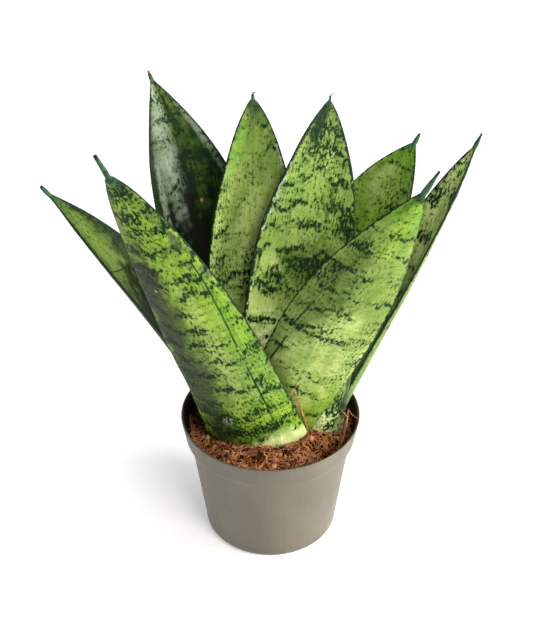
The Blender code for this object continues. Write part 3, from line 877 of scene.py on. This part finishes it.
def place_piece(piece, slot, material, *nodes):
    """Puts a finished piece on the frame's one body."""
    piece.data.materials.append(material)
    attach(piece, "root")
    if nodes:
        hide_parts(*nodes)


def arc(centre, radius, start, end, count):
    """Points of an arc in the XZ plane, its angles in degrees from +X towards +Z."""
    angle = np.radians(np.linspace(start, end, count + 1))
    return np.stack([centre[0] + radius * cos(angle), centre[1] + radius * sin(angle)], axis=1)


def fill_in(profile, gap):
    """The profile with points added along its straight runs, so that none is longer than gap."""
    filled = [profile[:1]]
    for start, end in zip(profile[:-1], profile[1:]):
        count = max(1, int(np.ceil(np.linalg.norm(end - start) / gap)))
        filled.append(start + (end - start) * (np.arange(1, count + 1) / count)[:, None])
    return np.concatenate(filled)


def soften(profile, steps=7):
    """The profile with each of its corners replaced by a soft curve.

    The curve is a quadratic one: the corner weighs 2t(1-t), and the points before and after
    it weigh (1-t) squared and t squared.
    """
    rounded = [profile[0]]
    share = np.linspace(0, 1, steps)[:, None]
    for before, corner, after in zip(profile[:-2], profile[1:-1], profile[2:]):
        reach = [np.linalg.norm(corner - end) for end in (before, after)]
        cut = [min(POT_SOFTENING / size, 0.45) for size in reach]
        start, end = corner + (before - corner) * cut[0], corner + (after - corner) * cut[1]
        rounded.extend(start * (1 - share) ** 2 + 2 * corner * share * (1 - share) + end * share**2)
    rounded.append(profile[-1])
    return np.array(rounded)


def pot_profile():
    """Radius and height from the middle of the floor up the inside, over the lip and down."""
    step = POT_HEIGHT - BAND_HEIGHT
    inner = POT_CORNER - POT_WALL
    foot = WALL_FOOT_RADIUS - POT_WALL
    inside = np.concatenate([
        [[1 * MM, POT_FLOOR]],
        arc((foot - inner, POT_FLOOR + inner), inner, -90, 0, 6),
        [[WALL_TOP_RADIUS - POT_WALL, step - BAND_STEP], [BAND_FOOT_RADIUS - POT_WALL, step]],
    ])
    lip = arc((RIM_RADIUS - POT_WALL / 2, POT_HEIGHT - POT_WALL / 2), POT_WALL / 2, 180, 0, 8)
    outside = np.concatenate([
        lip[-1:],
        [[BAND_FOOT_RADIUS, step], [WALL_TOP_RADIUS, step - BAND_STEP]],
        arc((WALL_FOOT_RADIUS - POT_CORNER, POT_CORNER), POT_CORNER, 0, -90, 12),
        [[1 * MM, 0]],
    ])
    return fill_in(np.concatenate([soften(inside), lip, soften(outside)[1:]]), POT_ROW)


def make_pot(colours):
    """The profile carried round the axis: inner wall, rolled lip, band, soft step and foot.

    Past the lip the wall swells in and out by noise and has a bell-shaped mould line, and both
    lie within the profile. A dark coir dusting, partly painted shade, fades in below the lip on the
    inside.
    """
    profile = pot_profile()
    turn = 2 * pi * np.arange(POT_SIDES) / POT_SIDES
    radius, height = profile[:, :1], profile[:, 1:]
    past_lip = np.arange(len(profile)) - np.argmax(profile[:, 1])
    wall = ease((past_lip - 2) / 6)[:, None] * ease((radius - FOOT_FLAT) / (2 * MM))
    swell = SWELL * (noise(turn * 12 / pi + 9, height / (30 * MM) + 5, 3) - 1)
    mould = MOULD_LINE * (np.exp(-(((turn - MOULD_TURN) / MOULD_WIDTH) ** 2)) - 1)
    reach = radius + wall * (swell + mould)
    # Coir dusting and painted shade on the inner wall below the lip
    inner_dust_and_shade = ease((2 - past_lip) / 4)[:, None] * ease((POT_HEIGHT - 1.2 * MM - height) / (4 * MM))
    fields = {"inside": np.broadcast_to(inner_dust_and_shade, reach.shape)[None]}
    floor_centre, foot_centre = np.array([[0, 0, POT_FLOOR]]), np.zeros((1, 3))
    rings = around(reach, turn, height)[None]
    pot = loft("pot_shell", rings, floor_centre, foot_centre, fields)
    cut_drains(pot)
    pot.data.set_sharp_from_angle(angle=np.radians(70))
    place_piece(pot, "pot_plastic", pot_finish(colours), "pot")


def cut_drains(pot):
    """Cuts the round drain holes through the floor and keeps the cut mesh."""
    turn = 2 * pi * np.arange(DRAIN_COUNT)[:, None] / DRAIN_COUNT
    paths = around(DRAIN_CIRCLE, turn, np.array([-2, 0, 2, 4]) * POT_FLOOR)
    cutter = tubes("drain_cutter", paths, np.full(paths.shape[:2], DRAIN_RADIUS), 32, 0)
    cut = pot.modifiers.new("drains", "BOOLEAN")
    cut.operation = "DIFFERENCE"
    cut.solver = "EXACT"
    cut.object = cutter
    evaluated = pot.evaluated_get(bpy.context.evaluated_depsgraph_get())
    whole = pot.data
    pot.data = bpy.data.meshes.new_from_object(evaluated)
    if len(pot.data.vertices) <= len(whole.vertices):
        raise RuntimeError("the drain holes were not cut")
    pot.modifiers.clear()
    bpy.data.meshes.remove(whole)
    bpy.data.objects.remove(cutter)


def mix_height(x, y):
    """The coir's mound: its edge height plus the rise times the cosine of the way out."""
    way = np.clip(np.hypot(x, y) / MIX_RADIUS, 0, 1)
    return ramp((MIX_EDGE, MIX_TOP), cos(pi / 2 * way))


def inner_radius(height):
    """How far the pot's inner wall stands from the axis, less a small gap.

    The outside's radii at five heights are joined by straight lines, less the wall.
    """
    heights = [0, POT_CORNER, POT_HEIGHT - BAND_HEIGHT - BAND_STEP, POT_HEIGHT - BAND_HEIGHT,
               POT_HEIGHT]
    radii = [WALL_FOOT_RADIUS - 2 * POT_CORNER, WALL_FOOT_RADIUS, WALL_TOP_RADIUS,
             BAND_FOOT_RADIUS, RIM_RADIUS]
    return np.interp(height, heights, radii) - POT_WALL - WALL_GAP


def keep_inside(points, reach=0.0):
    """The points drawn in towards the axis wherever they would come within reach of the wall."""
    out = np.hypot(points[..., 0], points[..., 1]) + 1e-9
    share = np.minimum(1, (inner_radius(points[..., 2]) - reach) / out)
    return points * np.stack([share, share, np.ones_like(share)], axis=-1)


def coir_surface(x, y, relief):
    """The mound, lowered, with its middle raised again and layered noise times the relief."""
    lumps = layered_noise(x / COIR_LUMP + 20, y / COIR_LUMP + 20, 11, 4, 0.6)
    heap = COIR_HEAP * ease(2 * (1 - np.hypot(x, y) / MIX_RADIUS))
    return mix_height(x, y) - COIR_SINK + heap + relief * (0.45 * lumps - 0.2)


def make_coir(sizes, colours):
    """The bed of coir: rings from the middle of its lumpy top, down the wall and under."""
    turn = 2 * pi * np.arange(COIR_SIDES) / COIR_SIDES
    reach = np.linspace(0.01, 1, COIR_RINGS)[:, None] * MIX_RADIUS
    top = coir_surface(reach * cos(turn), reach * sin(turn), sizes.coir_relief)
    top = keep_inside(around(reach, turn, top))
    heights = SIDE_HEIGHTS[:, None]
    rings = np.concatenate([top, around(inner_radius(heights), turn, heights)])[None]
    shade = np.full(rings.shape[:3], 0.1)
    starts = top[:1, 0] * np.array([[0, 0, 1]])
    ends = np.array([[0, 0, SIDE_HEIGHTS[-1]]])
    bed = loft("coir_bed", rings, starts, ends, {"shade": shade})
    place_piece(bed, "coir", coir_finish("coir_bed", colours, True), "potting_mix")


def spread(count, random):
    """Random places on the coir, even over its area: the way out is the root of a random share."""
    way = MIX_RADIUS * np.sqrt(random.uniform(0, 0.97, count))
    turn = random.uniform(0, 2 * pi, count)
    return way * cos(turn), way * sin(turn)


def make_crumbs(sizes, colours):
    """Crumbs of coir: short fat bodies with rough rings, each turned its own way.

    A crumb's radius is its girth times the root of 1.05 less the square of the way from its
    middle to its end.
    """
    random = np.random.default_rng(21)
    count = sizes.crumbs
    x, y = spread(count, random)
    size = sizes.crumb_size * random.lognormal(-0.1, 0.55, count).clip(0.3, 1.9)
    tilt = random.uniform(-0.9, 0.9, count)
    turn = random.uniform(0, 2 * pi, count)
    direction = np.stack([cos(tilt) * cos(turn), cos(tilt) * sin(turn), sin(tilt)], axis=1)
    lift = random.uniform(-0.3, 0.75, count) * size
    middle = np.stack([x, y, coir_surface(x, y, sizes.coir_relief) + lift], axis=1)
    along = np.linspace(-1, 1, 5)
    paths = middle[:, None] + direction[:, None] * (size[:, None] * along)[..., None]
    paths += random.normal(0, 0.12, paths.shape) * size[:, None, None]
    girth = size * random.uniform(0.3, 0.75, count)
    radii = girth[:, None] * np.sqrt(1.05 - along**2)
    paths = keep_inside(paths, 1.3 * radii)
    shades = random.uniform(0.0, 1.1, count) ** 1.3
    crumbs = tubes("coir_crumbs", paths, radii, 6, 22, 0.6, {"shade": shades})
    place_piece(crumbs, "coir", coir_finish("coir_crumbs", colours, False))


def make_fibres(sizes, colours):
    """Loose fibres that lie on the coir: each turns steadily and wanders, lifted off the bed.

    The heading at each point is the fibre's own plus its bend times the share of the way plus
    a running sum of random turns, and the points are the running sum of the steps.
    """
    random = np.random.default_rng(31)
    count = sizes.fibres
    x, y = spread(count, random)
    length = random.uniform(4, 15, count) * MM
    heading = random.uniform(0, 2 * pi, count)
    bend = random.normal(0, 1.3, count)
    share = np.linspace(-0.5, 0.5, FIBRE_POINTS)
    wander = 0.35 / 3 * np.cumsum(random.normal(0, 1, (count, FIBRE_POINTS)), axis=1)
    angle = heading[:, None] + bend[:, None] * share + wander
    steps = (length / (FIBRE_POINTS - 1))[:, None] * np.stack([cos(angle), sin(angle)])
    places = np.cumsum(steps, axis=2)
    places += np.stack([x, y])[..., None] - places[:, :, [FIBRE_POINTS // 2]]
    lift = random.uniform(0.5, 2.6, count)[:, None] * MM
    rise = random.normal(0, 1.6, count)[:, None] * MM * np.abs(2 * share)
    height = coir_surface(places[0], places[1], sizes.coir_relief) + lift + rise
    paths = np.stack([places[0], places[1], height], axis=-1)
    paths[:, 1:-1] = (paths[:, :-2] + 2 * paths[:, 1:-1] + paths[:, 2:]) / 4
    paths = keep_inside(paths, sizes.fibre_radius)
    thick = sizes.fibre_radius * random.lognormal(0, 0.42, count)
    radii = thick[:, None] * (1 - 0.7 * (2 * share) ** 4)
    shades = random.uniform(0.35, 1.35, count)
    fibres = tubes("coir_fibres", paths, radii, 4, 32, 0.1, {"shade": shades})
    place_piece(fibres, "coir", coir_finish("coir_fibres", colours, False))


def smooth_path(points, count, rounds):
    """Evenly shared points on straight runs in mm, each then averaged with its neighbours."""
    points = np.array(points) * MM
    share, places = np.linspace(0, 1, count), np.linspace(0, 1, len(points))
    path = np.stack([np.interp(share, places, axis) for axis in points.T], axis=1)
    for _ in range(rounds):
        path[1:-1] = (path[:-2] + 2 * path[1:-1] + path[2:]) / 4
    return path


# Standing roots: points in mm, and the radius at the foot and the tip
ROOTS = (
    (((25, -15, 79), (24.7, -16, 89), (22.8, -21, 103), (19.7, -24, 114), (19.2, -26, 121),
      (17.5, -27, 127), (15, -29, 136)), (0.7, 0.3)),
    (((46.5, -20, 79), (48.5, -17, 85), (50.3, -12, 90), (51.3, -9, 95), (51.8, -5, 99)),
     (0.65, 0.3)),
    (((51.3, -9, 95), (50, -8, 97), (47.5, -7, 99), (45.8, -6.5, 101)), (0.4, 0.15)),
    (((51.8, -5, 99), (53.5, -7, 97), (56, -9, 96), (58, -11, 96)), (0.35, 0.2)),
    (((50, -13, 89), (48, -14, 88), (45.5, -16, 87)), (0.3, 0.12)),
    (((-50, -16, 80), (-52, -14, 86), (-53, -10, 92), (-54, -8, 95)), (0.3, 0.12)),
    (((-49, -8, 80), (-52, -6, 88), (-54, -5, 94)), (0.3, 0.12)),
    (((-47, -22, 81), (-50, -19, 86), (-52.5, -17, 90)), (0.28, 0.12)),
    (((-44, -27, 82), (-40, -30, 85), (-34, -33, 85), (-30, -36, 83)), (0.28, 0.12)),
)


def make_roots(colours):
    """Standing roots: round bodies that taper along smoothed paths."""
    paths = np.array([smooth_path(points, 25, 12) for points, _ in ROOTS])
    radii = np.array([ramp(pair, np.linspace(0, 1, 25)) * MM for _, pair in ROOTS])
    roots = tubes("standing_roots", paths, radii, 8, 41, 0.12)
    place_piece(roots, "coir", root_finish(colours))


# Dry tips: leaf, points from the end of its blade in mm, and the radius at the foot and the tip
DRY_TIPS = (
    ("leaf_back_left", ((0.2, 0, -2), (0, 0, 0), (-0.2, 0, 0.8), (-0.6, 0, 1.6)), (0.9, 0.55)),
    ("leaf_inner_left", ((0, 0, -2), (0, 0, 0), (0.8, 0, 0.9), (1.8, 0, 0.4)), (0.6, 0.3)),
    ("leaf_centre", ((0, 0, -2), (0.2, 0, 0), (1.4, 0, 1.4), (3.2, 0, 1.5)), (0.45, 0.14)),
    ("leaf_centre", ((0, 0, -2), (-0.4, 0, -0.6), (-1.2, 0, -0.4), (-1.6, 0, -1)), (0.35, 0.14)),
)


def make_dry_tips(colours):
    """Withered ends of the leaves: short bent tubes from the end of each blade."""
    paths = np.array([blade_end(name) + smooth_path(points, 13, 3) for name, points, _ in DRY_TIPS])
    radii = np.array([ramp(pair, np.linspace(0, 1, 13)) * MM for _, _, pair in DRY_TIPS])
    tips = tubes("dry_tips", paths, radii, 10, 43, 0.2)
    place_piece(tips, "leaf_centre", dry_finish(colours))


def finish_rhizome(colours):
    """The frame's own rhizome stays, with a fine material."""
    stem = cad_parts["rhizome"]
    material = rhizome_finish(colours)
    for slot in stem.material_slots:
        slot.material = material


# ---------------------------------------------------------------- leaves


def leaf_axes(leaf, along):
    """Unit vectors along the centreline, across the blade and out of its inner face."""
    lean = np.radians(ramp(leaf.lean, along))
    heading = np.radians(ramp(leaf.heading, along))
    roll = np.radians(ramp(leaf.roll, along))[:, None]
    out = np.stack([cos(heading), sin(heading), np.zeros_like(heading)], axis=1)
    up = np.array([0.0, 0.0, 1.0])
    forward = out * sin(lean)[:, None] + up * cos(lean)[:, None]
    inward = -out * cos(lean)[:, None] + up * sin(lean)[:, None]
    side = np.cross(forward, inward)
    across = cos(roll) * side - sin(roll) * inward
    normal = cos(roll) * inward + sin(roll) * side
    return forward, across, normal


def centreline(leaf, along, foot_height):
    """Points of the centreline: its direction, summed up from the foot at along = 0."""
    places = np.linspace(-0.1, 1.2, 261)
    middles = (places[1:] + places[:-1]) / 2
    steps = leaf_axes(leaf, middles)[0] * (places[1] - places[0]) * leaf.length * MM
    path = np.vstack([np.zeros(3), np.cumsum(steps, axis=0)])
    foot = np.array([leaf.foot[0] * MM, leaf.foot[1] * MM, foot_height])
    offsets = [np.interp(along, places, axis) - np.interp(0, places, axis) for axis in path.T]
    return foot + np.stack(offsets, axis=1)


def blade_end(name):
    """The point where the named leaf's spine ends."""
    leaf = next(leaf for leaf in LEAVES if leaf.name == name)
    return centreline(leaf, np.array([1 + leaf.spine / leaf.length]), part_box(name)[0][2])


def blade_half_width(leaf, along):
    """Widens from the foot to the widest place, falls to the tip and ends in the spine."""
    foot_width, full_width = leaf.half_width
    rise = ramp((foot_width, full_width), sin(pi / 2 * np.clip(along / leaf.widest, 0, 1)))
    past = np.clip((along - leaf.widest) / (1 - leaf.widest), 0, 1)
    fall = full_width * cos(pi / 2 * past) ** leaf.taper
    neck = ramp((NECK_SHARE, 1), ease(along * leaf.length * MM / NECK_LENGTH))
    blade = np.where(along < leaf.widest, rise, fall) * neck * MM
    spine = ramp(leaf.spine_half_width, ease((along - 1) * leaf.length / leaf.spine)) * MM
    return np.maximum(blade, spine)


def near_crease(leaf, across, along, line):
    """Distance in mm to a crease that runs straight between two places on the flat blade."""
    size = np.array([leaf.half_width[1], leaf.length])
    start, end = np.array(line[0]) * size, np.array(line[1]) * size
    x, y = across * size[0] - start[0], along * size[1] - start[1]
    run = end - start
    share = np.clip((x * run[0] + y * run[1]) / (run @ run), 0, 1)
    return np.hypot(x - share * run[0], y - share * run[1])


def paint_leaf(leaf, colours, across, along, width, face, seed):
    """Ground colour, flecking and the distances to margin and crease over the blade.

    A patch weighs its strength times a smooth fall from 1 to 0 of the elliptical distance
    from its centre, frayed by noise. A band is a bell curve of the distance from a wavy line.
    """
    length = leaf.length
    u, v = across * width, along * length
    rough = layered_noise(u / 5 + 7 + face * 9, v / 9 + 3, seed, 3)
    places = [place for place, _ in leaf.ground]
    stops = np.array([getattr(colours, name)[:] for _, name in leaf.ground])
    shifted = along + 0.03 * rough
    tint = np.stack([np.interp(shifted, places, channel) for channel in stops.T], axis=-1)

    # A band's line waves finely, drifts slowly and sags, and each has its own thickness and gaps
    spacing, thick, strength = leaf.bands
    wave = 3.8 * noise(u / 6 + face * 5, v / 30, seed + 11)
    wave += 3 * noise(u / 2.6 + face * 5, v / 12, seed + 12)
    drift = 3 * noise(u / 40, v / 25 + face * 3, seed + 13)
    line = v + wave + drift + leaf.sag * across**2
    phase = (line / spacing + 0.5) % 1 - 0.5
    row = np.floor(line / spacing + 0.5)
    thick = thick * (1 + 0.7 * noise(u / 8 + 2.3 * row, row * 1.7, seed + 17))
    band = np.exp(-((phase * spacing / thick) ** 2) / 2)
    haze = np.exp(-((phase * spacing / HAZE_REACH) ** 2) / 2)
    patchy = 0.7 + 1.1 * noise(u / 9 + 3.7 * row, row * 1.31, seed + 14)
    gather = leaf.flecks + strength * (band + HAZE_SHARE * haze) * np.clip(patchy, 0, 1.5)
    gather += 0.07 * noise(u / 12, v / 16, seed + 15)

    for number, patch in enumerate(leaf.patches):
        reach = np.hypot((across - patch.across) / patch.wide, (along - patch.along) / patch.long)
        reach = reach + patch.fray * layered_noise(u / 4, v / 7, seed + 20 + number, 3)
        weight = patch.strength * (1 - ease((reach - SOFT_EDGE[0]) / SOFT_EDGE[1]))
        if patch.kind == "mark":
            gather = gather + weight
        else:
            colour = np.array(getattr(colours, patch.kind)[:])
            tint += (colour - tint) * weight[..., None]

    margin = (1 - np.abs(across)) * width + 4 * (1 - ease((along - 0.06) * 12))
    creases = [near_crease(leaf, across, along, one) for one in leaf.creases]
    crease = np.minimum.reduce(creases + [np.full_like(across, 9.0)])
    return tint, np.stack([np.minimum(gather, MOST_FLECKS), margin, crease], axis=-1)


def make_leaf(leaf, seed, sizes, colours):
    """A leaf as one closed loft: each ring runs over the inner face and back over the outer.

    The middle surface is an arc across the blade, of radius half width over fold. Each face
    stands off it by half the thickness times 1 - 0.7 across squared, rounded at the margin,
    plus a slow wave. Creases press both faces in by a bell curve.
    """
    share = np.linspace(0, 1, LEAF_ROWS)
    share = ramp((share, sin(pi / 2 * share)), 0.3)
    along = (1 + leaf.spine / leaf.length) * share
    even = np.linspace(-1, 1, LEAF_COLUMNS + 1)
    inner = ramp((even, sin(pi / 2 * even)), 0.55)
    across = np.concatenate([inner, inner[-2:0:-1]])
    face = np.concatenate([np.ones(LEAF_COLUMNS + 1), -np.ones(LEAF_COLUMNS - 1)])
    face[[0, LEAF_COLUMNS]] = 0
    row, column = along[:, None] + 0 * across, across + 0 * along[:, None]

    # The middle surface: its margins ripple, and it turns by the fold to each side
    plain = blade_half_width(leaf, along)
    ripple = 1 + 0.014 * noise(row * leaf.length / 22, np.sign(column) + 5, seed + 1) * ease(
        (row - 0.15) * 5
    )
    width = plain[:, None] * ripple
    fold = np.radians(ramp(leaf.fold, ease(along / FOLD_EASE)))[:, None]
    radius = width / fold
    _, side, normal = (vector[:, None] for vector in leaf_axes(leaf, along))
    turn = fold * column
    middle = centreline(leaf, along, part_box(leaf.name)[0][2])[:, None]
    middle = middle + side * (radius * sin(turn))[..., None]
    middle = middle + normal * (radius * (1 - cos(turn)))[..., None]
    facing = normal * cos(turn)[..., None] - side * sin(turn)[..., None]

    # The thickness: rounded over the last 0.7 mm to the margin, and round in the spine
    slimming = np.clip(plain / FULL_THICKNESS_WIDTH, LEAST_THICKNESS_SHARE, 1)[:, None]
    blade = LEAF_THICKNESS / 2 * slimming * (1 - 0.7 * column**2)
    margin = (1 - np.abs(column)) * width
    blade = blade * np.sqrt(np.clip(1 - (1 - np.clip(margin / (0.7 * MM), 0, 1)) ** 2, 0, 1))
    spine = 0.85 * width * np.sqrt(np.clip(1 - column**2, 0, 1))
    spineness = ease((row - 1) * leaf.length / 6 + 1)
    half = ramp((blade, spine), spineness)
    u, v = column * width / MM, row * leaf.length

    # One swell moves both faces alike, and a finer one gives each its own ribs
    free = ease((row - 0.12) * 4) * (1 - spineness)
    swell = sizes.wave * free * noise(u / 17 + 4, v / 38, seed + 2)
    swell = swell + 0.12 * sizes.wave * free * noise(u / 2.5, v / 60, seed + 3) * face
    dent = np.zeros_like(row)
    for line in leaf.creases:
        away = near_crease(leaf, column, row, line)
        dent = np.maximum(dent, np.exp(-((away * MM / sizes.crease_width) ** 2)))
    offset = face * (half - 0.5 * sizes.crease_depth * dent * (half > 0.5 * MM)) + swell

    # The last rows close to a point
    points = middle + facing * offset[..., None]
    tip = (along - along[-1]) * leaf.length / 0.6 + 1
    closing = np.sqrt(np.clip(1 - np.clip(tip, 0, 0.98) ** 2, 0, 1))[:, None, None]
    points = middle.mean(axis=1, keepdims=True) * (1 - closing) + points * closing

    # The spine is teal and has no bands, and its very end is dry
    tint, marks = paint_leaf(leaf, colours, column, row, width / MM, face, seed)
    tint = ramp((tint, np.array(colours.teal[:])), spineness[..., None] * 0.8)
    dry = ease((row * leaf.length - along[-1] * leaf.length + 2.5) / 2)[..., None]
    tint = ramp((tint, np.array(colours.coir_dark[:])), 0.7 * dry)
    marks[..., 0] *= 1 - spineness * 0.8
    marks[..., 1] += 4 * spineness
    blade_place = np.stack([u, v, np.full_like(u, seed) + 40 * (face < 0)], axis=-1)
    fields = {"tint": tint[None], "marks": marks[None], "blade": blade_place[None]}
    piece = loft(
        leaf.name + "_blade", points[None], points[:1].mean(axis=1), points[-1:].mean(axis=1),
        fields,
    )
    place_piece(piece, leaf.name, leaf_finish(leaf, colours), leaf.name)


# ---------------------------------------------------------------- stage


def make_floor(colours):
    """A square of matte paper that glows faintly, and more with distance, up to white."""
    reach = FLOOR_REACH
    mesh = bpy.data.meshes.new("floor")
    corners = [(-reach, -reach, 0), (reach, -reach, 0), (reach, reach, 0), (-reach, reach, 0)]
    mesh.from_pydata(corners, [], [(0, 1, 2, 3)])
    floor = add_object("floor", mesh)
    paper = Finish("floor_paper")
    place = paper.place()
    fleck = paper.noise(place, 400.0, 2.0, 0.5)
    tone = paper.mix(fleck, colours.floor, (0.96, 0.96, 0.96))
    floor.data.materials.append(paper.finish(tone, 0.9, paper.bump(fleck, 0.1 * MM, 0.1)))
    away = paper.node("ShaderNodeVectorMath", {0: place}, output="Value", operation="LENGTH")
    glow = paper.mix(paper.step(away, NEAR_FLOOR, FAR_FLOOR), NEAR_GLOW, (1, 1, 1))
    paper.put(paper.shader.inputs["Emission Color"], glow)
    paper.shader.inputs["Emission Strength"].default_value = 1


def make_surroundings():
    """White surroundings, brightest at the horizon and dim overhead."""
    world = bpy.data.worlds.new("studio")
    world.use_nodes = True
    nodes, links = world.node_tree.nodes, world.node_tree.links
    direction = nodes.new("ShaderNodeTexCoord").outputs["Generated"]
    split = nodes.new("ShaderNodeSeparateXYZ")
    links.new(direction, split.inputs[0])
    glow = nodes.new("ShaderNodeMapRange")
    glow.interpolation_type = "SMOOTHSTEP"
    links.new(split.outputs["Z"], glow.inputs["Value"])
    for number, value in enumerate(HORIZON_GLOW, 1):
        glow.inputs[number].default_value = value
    background = nodes["Background"]
    background.inputs["Color"].default_value = (1, 1, 1, 1)
    links.new(glow.outputs[0], background.inputs["Strength"])
    bpy.context.scene.world = world


def make_light(name, place, size, power, colour):
    """A rectangular light that faces the plant."""
    light = bpy.data.lights.new(name, "AREA")
    light.shape = "RECTANGLE"
    light.size, light.size_y = size
    light.energy = power
    light.color = colour
    made = add_object(name, light)
    made.location = place
    facing = Vector(LIT_POINT) - Vector(place)
    made.rotation_euler = facing.to_track_quat("-Z", "Y").to_euler()


def make_camera():
    """A camera in front of the pot and above it, aimed down by its pitch."""
    camera = bpy.data.cameras.new("camera")
    camera.lens = LENS
    camera.sensor_width = SENSOR_WIDTH
    viewer = add_object("camera", camera)
    away = Vector((0, -cos(CAMERA_ELEVATION), sin(CAMERA_ELEVATION)))
    viewer.location = Vector((CAMERA_ASIDE, 0, POT_HEIGHT)) + CAMERA_DISTANCE * away
    viewer.rotation_euler = (pi / 2 - CAMERA_PITCH, 0, 0)
    bpy.context.scene.camera = viewer
    bpy.context.scene.view_settings.view_transform = "Standard"


# ---------------------------------------------------------------- add-on


class PLANT_OT_pot(bpy.types.Operator):
    """Make the nursery pot with its band, lip and drain holes"""

    bl_idname = "snake_plant.pot"
    bl_label = "Pot"

    def execute(self, context):
        make_pot(context.scene.plant_colours)
        return {"FINISHED"}


class PLANT_OT_coir(bpy.types.Operator):
    """Make the bed of coir with its crumbs and fibres"""

    bl_idname = "snake_plant.coir"
    bl_label = "Coir"

    def execute(self, context):
        for make in (make_coir, make_crumbs, make_fibres):
            make(context.scene.plant_sizes, context.scene.plant_colours)
        return {"FINISHED"}


class PLANT_OT_roots(bpy.types.Operator):
    """Make the standing roots, and give the rhizome its skin"""

    bl_idname = "snake_plant.roots"
    bl_label = "Roots"

    def execute(self, context):
        make_roots(context.scene.plant_colours)
        finish_rhizome(context.scene.plant_colours)
        return {"FINISHED"}


class PLANT_OT_leaves(bpy.types.Operator):
    """Make the nine banded leaves and their dry tips"""

    bl_idname = "snake_plant.leaves"
    bl_label = "Leaves"

    def execute(self, context):
        for number, leaf in enumerate(LEAVES, 1):
            make_leaf(leaf, 100 * number, context.scene.plant_sizes, context.scene.plant_colours)
        make_dry_tips(context.scene.plant_colours)
        return {"FINISHED"}


class PLANT_OT_stage(bpy.types.Operator):
    """Make the floor, the surroundings, the lights and the camera"""

    bl_idname = "snake_plant.stage"
    bl_label = "Stage"

    def execute(self, context):
        make_floor(context.scene.plant_colours)
        make_surroundings()
        for light in LIGHTS:
            make_light(*light)
        make_camera()
        return {"FINISHED"}


STEPS = (PLANT_OT_pot, PLANT_OT_coir, PLANT_OT_roots, PLANT_OT_leaves, PLANT_OT_stage)


class PLANT_PT_panel(bpy.types.Panel):
    """Sizes, colours and build steps of the plant"""

    bl_idname = "PLANT_PT_panel"
    bl_label = "Snake Plant"
    bl_space_type = "VIEW_3D"
    bl_region_type = "UI"
    bl_category = "Snake Plant"

    def draw(self, context):
        for group in (context.scene.plant_sizes, context.scene.plant_colours):
            box = self.layout.box()
            for name in group.__annotations__:
                box.prop(group, name)
        for step in STEPS:
            self.layout.operator(step.bl_idname)


CLASSES = (PlantSizes, PlantColours, *STEPS, PLANT_PT_panel)


def register():
    for one in CLASSES:
        bpy.utils.register_class(one)
    bpy.types.Scene.plant_sizes = PointerProperty(type=PlantSizes)
    bpy.types.Scene.plant_colours = PointerProperty(type=PlantColours)


def unregister():
    del bpy.types.Scene.plant_colours
    del bpy.types.Scene.plant_sizes
    for one in reversed(CLASSES):
        bpy.utils.unregister_class(one)


def main():
    register()
    bpy.ops.snake_plant.pot()
    bpy.ops.snake_plant.coir()
    bpy.ops.snake_plant.roots()
    bpy.ops.snake_plant.leaves()
    bpy.ops.snake_plant.stage()


if __name__ == "__main__":
    main()
